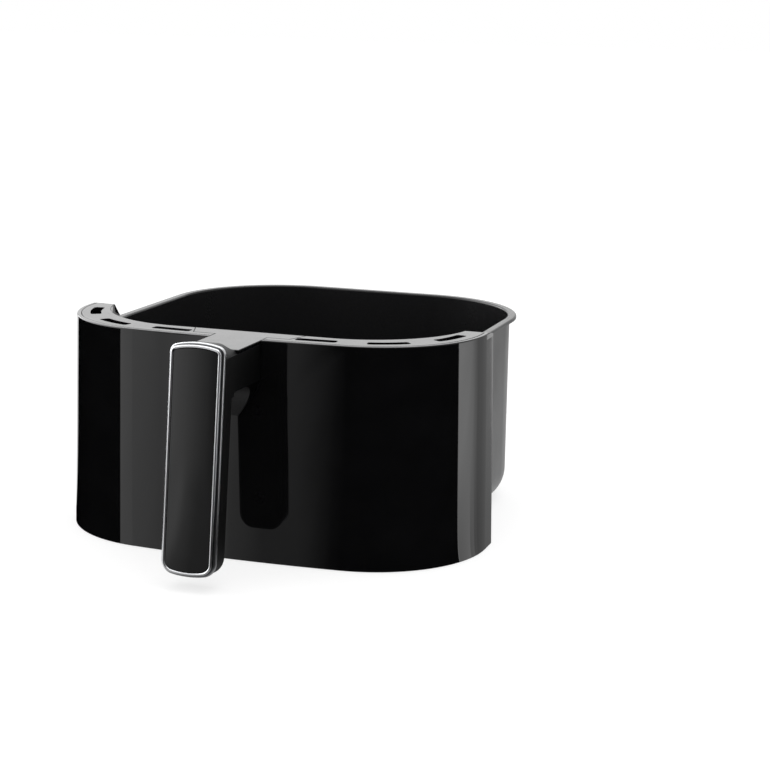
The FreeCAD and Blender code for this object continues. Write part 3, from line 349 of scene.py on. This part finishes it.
# Handle grip: bar, shoulder, neck and gusset in one ABS moulding, screwed to the bracket's tongue. The mould
# is finely textured for the hand, drawn here coarser than it is so that it shows, and palms polish the bar in
# soft patches.
grip_abs = new_material("fine_textured_abs")
place = add_node(grip_abs, "TexCoord").outputs["Object"]
grain = add_node(grip_abs, "TexNoise", Vector=place, Scale=per_mm(0.6), Detail=3.0)
tone = add_node(grip_abs, "ValToRGB", Fac=grain.outputs["Fac"], stops=[(0.3, "#0c0c0d"), (0.75, "#141415")])
palms = add_node(grip_abs, "TexNoise", Vector=place, Scale=per_mm(30), Detail=3.0)
sheen = add_node(grip_abs, "MapRange", Value=palms.outputs["Fac"], To_Min=0.4, To_Max=0.52)
relief = add_node(grip_abs, "Bump", Height=grain.outputs["Fac"], Distance=0.00002, Strength=0.4)
surface = add_node(
    grip_abs, "BsdfPrincipled", Base_Color=tone.outputs["Color"], Roughness=sheen.outputs["Result"],
    Normal=relief.outputs["Normal"], IOR=1.34)
add_node(grip_abs, "OutputMaterial", Surface=surface.outputs["BSDF"])
give(grip_abs, "handle_grip")

# Trim ring: ABS plated with copper, nickel and chromium, held between bar and insert. Its ends are arched,
# and its front bead is stepped in from its rear bead. The plating is bright on the beads, where wiping makes
# it a little wavy. The channel between them is coloured dark grey as painted shade.
lean = math.radians(6.5)  # of the bar, from upright
bar_normal = (0, -math.cos(lean), math.sin(lean))
bar_top = (0, -0.212136, 0.156366)  # middle of the top edge of the bar's front
ring_back, ring_front = 0.22847, 0.23387  # from the origin along the bar's normal
chrome = new_material("chrome_plated_abs")
place = add_node(chrome, "TexCoord").outputs["Object"]
along_normal = add_node(chrome, "VectorMath", place, bar_normal, settings={"operation": "DOT_PRODUCT"})
ring_depth_for_painted_shade = add_node(
    chrome, "MapRange", Value=along_normal.outputs["Value"], From_Min=ring_back, From_Max=ring_front)
# Painted shade: light grey on the beads and dark grey in the channel between them, set by depth through the
# ring.
tone = add_node(chrome, "ValToRGB", Fac=ring_depth_for_painted_shade.outputs["Result"], stops=[
    (0.44, "#e2e3e5"), (0.52, "#505255"), (0.78, "#505255"), (0.84, "#e2e3e5")])
wiped = add_node(chrome, "TexNoise", Vector=place, Scale=per_mm(6), Detail=4.0)
sheen = add_node(chrome, "MapRange", Value=wiped.outputs["Fac"], To_Min=0.26, To_Max=0.34)
relief = add_node(chrome, "Bump", Height=wiped.outputs["Fac"], Distance=0.00002, Strength=0.3)
surface = add_node(
    chrome, "BsdfPrincipled", Base_Color=tone.outputs["Color"], Metallic=1.0,
    Roughness=sheen.outputs["Result"], Normal=relief.outputs["Normal"])
add_node(chrome, "OutputMaterial", Surface=surface.outputs["BSDF"])


def select_only(mesh, parts, chosen):
    """Selects those vertices or faces of a mesh that a test chooses, and nothing else."""
    for element in (*mesh.vertices, *mesh.edges, *mesh.polygons):
        element.select = False
    for part in parts:
        part.select = chosen(part)


def handle_blank():
    """A flat face with the handle's outline, lying down: X across, Y up the bar from the grip's top."""
    corners = [  # x and y in mm, and how far from the corner its rounding starts
        (0, 3.04, 14.85), (-18.6, -2.17, 3.95), (-18.6, -145.54, 7.2),
        (0, -149.26, 10.6), (18.6, -145.54, 7.2), (18.6, -2.17, 3.95),
    ]
    bpy.ops.mesh.primitive_circle_add(vertices=len(corners), fill_type="NGON")
    blank = bpy.context.object
    mesh = blank.data
    for vertex, (x, y, _) in zip(mesh.vertices, corners):
        vertex.co = (x / 1000, y / 1000, 0)
    for x, y, start in corners:
        corner = (x / 1000, y / 1000, 0)
        select_only(mesh, mesh.vertices, lambda vertex: math.dist(vertex.co, corner) < 1e-6)
        bpy.ops.object.mode_set(mode="EDIT")
        bpy.ops.mesh.bevel(
            offset=start / 1000, offset_type="ABSOLUTE", segments=12, affect="VERTICES", clamp_overlap=False)
        bpy.ops.object.mode_set(mode="OBJECT")
    return blank


def stand_on_bar(piece):
    """Stands a piece that was made lying down on the front of the leaning bar."""
    piece.rotation_euler = (math.radians(90) - lean, 0, 0)
    piece.location = bar_top
    bpy.ops.object.transform_apply(location=True, rotation=True, scale=True)


outer_wall, inner_wall = 1.7, 4.2
# The ring's front in steps from the outer wall to the inner one, each inwards and forwards in mm.
rear_bead = [(0.12, 0.45), (0.28, 0.35), (0.45, 0.2)]
channel = [(0.5, 0.05), (0.12, 0.2), (0.06, 1.5)]
front_bead = [(0.15, 0.4), (0.3, 0.35), (0.4, 0.2), (0.4, -0.1), (0.35, -0.25), (0.3, -0.4), (0.17, -0.45)]
ring = handle_blank()
bpy.ops.object.mode_set(mode="EDIT")
bpy.ops.mesh.select_all(action="SELECT")
bpy.ops.mesh.extrude_region_move(TRANSFORM_OT_translate={"value": (0, 0, outer_wall / 1000)})
for inwards, forwards in rear_bead + channel + front_bead:
    bpy.ops.mesh.inset(thickness=inwards / 1000, depth=forwards / 1000)
bpy.ops.mesh.extrude_region_move(TRANSFORM_OT_translate={"value": (0, 0, -inner_wall / 1000)})
bpy.ops.mesh.delete(type="ONLY_FACE")
bpy.ops.object.mode_set(mode="OBJECT")
# The ring's back is still closed, by the only face with more than four corners.
select_only(ring.data, ring.data.polygons, lambda face: len(face.vertices) > 4)
bpy.ops.object.mode_set(mode="EDIT")
bpy.ops.mesh.select_mode(type="FACE")
bpy.ops.mesh.delete(type="ONLY_FACE")
bpy.ops.mesh.select_mode(type="EDGE")
bpy.ops.mesh.select_non_manifold()
bpy.ops.mesh.bridge_edge_loops()
bpy.ops.mesh.select_mode(type="VERT")
bpy.ops.mesh.select_all(action="SELECT")
bpy.ops.mesh.normals_make_consistent(inside=False)
bpy.ops.object.mode_set(mode="OBJECT")
stand_on_bar(ring)
finish_piece(ring, "arched_trim_ring", "handle_trim_ring", chrome, crease=50)

# Insert: a crowned ABS inlay, lacquered in semi-gloss black and screwed on from behind the bar. The lacquer
# levels to a soft, slightly uneven shine that spreads the studio's light across the crown.
lacquer = new_material("semi_gloss_lacquered_abs")
place = add_node(lacquer, "TexCoord").outputs["Object"]
level = add_node(lacquer, "TexNoise", Vector=place, Scale=per_mm(12), Detail=3.0)
tone = add_node(lacquer, "ValToRGB", Fac=level.outputs["Fac"], stops=[(0.3, "#090909"), (0.75, "#0d0d0e")])
sheen = add_node(lacquer, "MapRange", Value=level.outputs["Fac"], To_Min=0.08, To_Max=0.13)
peel = add_node(lacquer, "TexNoise", Vector=place, Scale=per_mm(1.6), Detail=1.0)
relief = add_node(lacquer, "Bump", Height=peel.outputs["Fac"], Distance=0.00001, Strength=0.3)
surface = add_node(
    lacquer, "BsdfPrincipled", Base_Color=tone.outputs["Color"], Roughness=sheen.outputs["Result"],
    Normal=relief.outputs["Normal"], IOR=1.5)
add_node(lacquer, "OutputMaterial", Surface=surface.outputs["BSDF"])
edge_inset, middle_height, crown_radius, handle_length = 0.0038, 0.0051, 0.1845, 0.147
insert = handle_blank()
bpy.ops.object.mode_set(mode="EDIT")
bpy.ops.mesh.select_mode(type="FACE")
bpy.ops.mesh.select_all(action="SELECT")
bpy.ops.mesh.inset(thickness=edge_inset, depth=0)
bpy.ops.mesh.select_all(action="INVERT")
bpy.ops.mesh.delete(type="FACE")
bpy.ops.mesh.select_all(action="SELECT")
bpy.ops.mesh.extrude_region_move(TRANSFORM_OT_translate={"value": (0, 0, middle_height)})
bpy.ops.mesh.select_mode(type="VERT")
bpy.ops.mesh.select_all(action="SELECT")
bpy.ops.mesh.normals_make_consistent(inside=False)
bpy.ops.object.mode_set(mode="OBJECT")
bpy.ops.mesh.primitive_cylinder_add(
    vertices=720, radius=crown_radius, depth=2 * handle_length,
    location=(0, -handle_length / 2, middle_height - crown_radius), rotation=(math.radians(90), 0, 0))
crown = bpy.context.object
bpy.ops.object.transform_apply(location=True, rotation=True, scale=True)
apply_boolean(insert, crown, "INTERSECT")
bpy.ops.object.mode_set(mode="EDIT")
bpy.ops.mesh.select_all(action="SELECT")
bpy.ops.mesh.remove_doubles(threshold=0.00001)
bpy.ops.object.mode_set(mode="OBJECT")
stand_on_bar(insert)
finish_piece(insert, "crowned_inlay", "handle_insert", lacquer, crease=50)

# Insert screws: two of the cover's screws, shorter, sunk into the back of the bar. They lean with the bar and
# pull the insert and the ring against it.
seats = [(0, -213.193, 94.085), (0, -220.212, 32.483)]
insert_screws = set_in_places(cross_screw(9.2), seats, tilt=-90 - math.degrees(lean))
finish_piece(insert_screws, "cross_screws_in_bar", "insert_screws", zinc_barrel, crease=40)

# Studio floor: matt white paper. Most of its white is its own for the camera and for mirrors, so that the
# background is white while the drawer keeps a soft shadow.
bpy.ops.mesh.primitive_plane_add(size=24)
floor = bpy.context.object
floor.name = "studio_floor"


def seen_or_mirrored(owner):
    """One for the camera's rays and for those of mirrors and glass, zero for the light on matt surfaces."""
    ray = add_node(owner, "LightPath")
    mirrored = add_node(
        owner, "Math", ray.outputs["Is Glossy Ray"], ray.outputs["Is Transmission Ray"],
        settings={"operation": "MAXIMUM"})
    seen = add_node(
        owner, "Math", ray.outputs["Is Camera Ray"], mirrored.outputs["Value"],
        settings={"operation": "MAXIMUM"})
    return seen.outputs["Value"]


paper = new_material("matt_white_paper")
place = add_node(paper, "TexCoord").outputs["Object"]
tooth = add_node(paper, "TexNoise", Vector=place, Scale=per_mm(3))
tone = add_node(paper, "ValToRGB", Fac=tooth.outputs["Fac"], stops=[(0.3, "#acacac"), (0.7, "#b0b0b0")])
own_white = add_node(paper, "MapRange", Value=seen_or_mirrored(paper), To_Min=0.0, To_Max=0.72)
matt = add_node(paper, "BsdfDiffuse", Color=tone.outputs["Color"])
glow = add_node(paper, "Emission", Strength=own_white.outputs["Result"])
both = add_node(paper, "AddShader", matt.outputs["BSDF"], glow.outputs["Emission"])
add_node(paper, "OutputMaterial", Surface=both.outputs["Shader"])
floor.data.materials.append(paper)

# Reflector: what the gloss front mirrors, a black flag round the front with one soft panel at the left and a
# bright strip at the right. It lies on the floor in lanes that start at the cover's foot, and turns up into a
# wall behind the camera.
lanes = [  # start x and y in metres, bearing in degrees, brightness near the drawer and at the wall
    (-0.1317, -0.1281, -134.0, 0.0, 4.0), (-0.1149, -0.1422, -97.4, 0.0, 4.0),
    (-0.0942, -0.1521, -63.9, 0.0, 2.6), (-0.0855, -0.1543, -50.6, 0.0, 1.3),
    (-0.0851, -0.1544, -50.0, 1.16, 1.3), (-0.0733, -0.1560, -35.8, 0.97, 1.3),
    (-0.0539, -0.1575, -32.5, 0.74, 1.2), (-0.0154, -0.1588, -26.0, 1.0, 0.86),
    (-0.0025, -0.1591, -23.8, 0.54, 0.74), (0.0213, -0.1588, -19.7, 0.29, 0.5),
    (0.0450, -0.1580, -15.6, 0.28, 0.26), (0.0616, -0.1570, -12.8, 0.11, 0.12),
    (0.0684, -0.1565, -11.6, 0.03, 0.06), (0.0752, -0.1559, -10.4, 0.0, 0.04),
    (0.1129, -0.1429, 43.9, 0.0, 0.05), (0.1338, -0.1230, 85.9, 0.0, 0.3),
    (0.1421, -0.1090, 109.2, 0.0, 0.6), (0.1423, -0.1086, 109.8, 2.4, 0.6),
    (0.1468, -0.0962, 128.5, 1.5, 0.9), (0.1480, -0.0911, 135.8, 0.9, 0.8),
    (0.1486, -0.0866, 141.9, 0.52, 0.6), (0.1493, -0.0798, 151.2, 0.41, 0.5),
    (0.1503, -0.0709, 163.0, 0.38, 0.5), (0.1506, -0.0560, 164.6, 0.42, 0.5),
]
lift = 0.0003  # keeps the lanes just above the floor
reaches = [  # distance and height in metres, share of the near brightness and of the wall's
    (-0.03, lift, 0.88, 0.0), (0.3, lift, 1.0, 0.0), (0.75, lift, 1.1, 0.0), (1.45, lift, 1.1, 0.0),
    (1.75, lift, 0.0, 1.0), (3.0, lift, 0.0, 1.0), (3.2, 0.8, 0.0, 1.0), (3.2, 4.0, 0.0, 1.0),
]
bpy.ops.mesh.primitive_grid_add(x_subdivisions=len(lanes) - 1, y_subdivisions=len(reaches) - 1, size=1)
reflector = bpy.context.object
reflector.name = "studio_reflector"
brightness = reflector.data.attributes.new("brightness", "FLOAT", "POINT")
for vertex in reflector.data.vertices:
    start_x, start_y, bearing, near, far = lanes[round((vertex.co.x + 0.5) * (len(lanes) - 1))]
    reach, height, near_share, far_share = reaches[round((vertex.co.y + 0.5) * (len(reaches) - 1))]
    turn = math.radians(bearing)
    vertex.co = (start_x + reach * math.sin(turn), start_y - reach * math.cos(turn), height)
    brightness.data[vertex.index].value = near * near_share + far * far_share
panel = new_material("studio_panel_glow")
lit = add_node(panel, "Attribute", settings={"attribute_name": "brightness"})
glow = add_node(panel, "Emission", Strength=lit.outputs["Fac"])
add_node(panel, "OutputMaterial", Surface=glow.outputs["Emission"])
reflector.data.materials.append(panel)
reflector.visible_camera = False
reflector.visible_diffuse = False
reflector.visible_shadow = False

# Light: an even white room, seen as plain white by the camera and by mirrors, a soft box overhead, and a
# second one behind and above the drawer, which makes the flat tops pale.
room = bpy.data.worlds.new("studio_room")
bpy.context.scene.world = room
room.use_nodes = True
room.node_tree.nodes.clear()
strength = add_node(room, "MapRange", Value=seen_or_mirrored(room), To_Min=0.75, To_Max=1.0)
white = add_node(room, "Background", Color=(1, 1, 1, 1), Strength=strength.outputs["Result"])
add_node(room, "OutputWorld", Surface=white.outputs["Background"])
bpy.ops.object.light_add(type="AREA", location=(0.1, 0.1, 1.6))
top_box = bpy.context.object
top_box.name = "soft_box_above"
top_box.data.size = 1.6
top_box.data.energy = 10
bpy.ops.object.light_add(
    type="AREA", location=(-0.7, 2.6, 0.85), rotation=(math.radians(-72), 0, math.radians(15)))
back_box = bpy.context.object
back_box.name = "soft_box_behind"
back_box.data.shape = "RECTANGLE"
back_box.data.size = 3.0
back_box.data.size_y = 1.3
back_box.data.energy = 4.5

# Camera: a long lens to the right of the drawer and a little above it, at the photograph's height and angle
# and with its slight roll.
bpy.ops.object.camera_add(
    location=(0.47074, -1.25666, 0.37357),
    rotation=(math.radians(78.0257), math.radians(-1.0205), math.radians(18.6502)))
camera = bpy.context.object
camera.data.lens = 87.0094
camera.data.sensor_width = 36
bpy.context.scene.camera = camera
bpy.context.scene.view_settings.view_transform = "Standard"
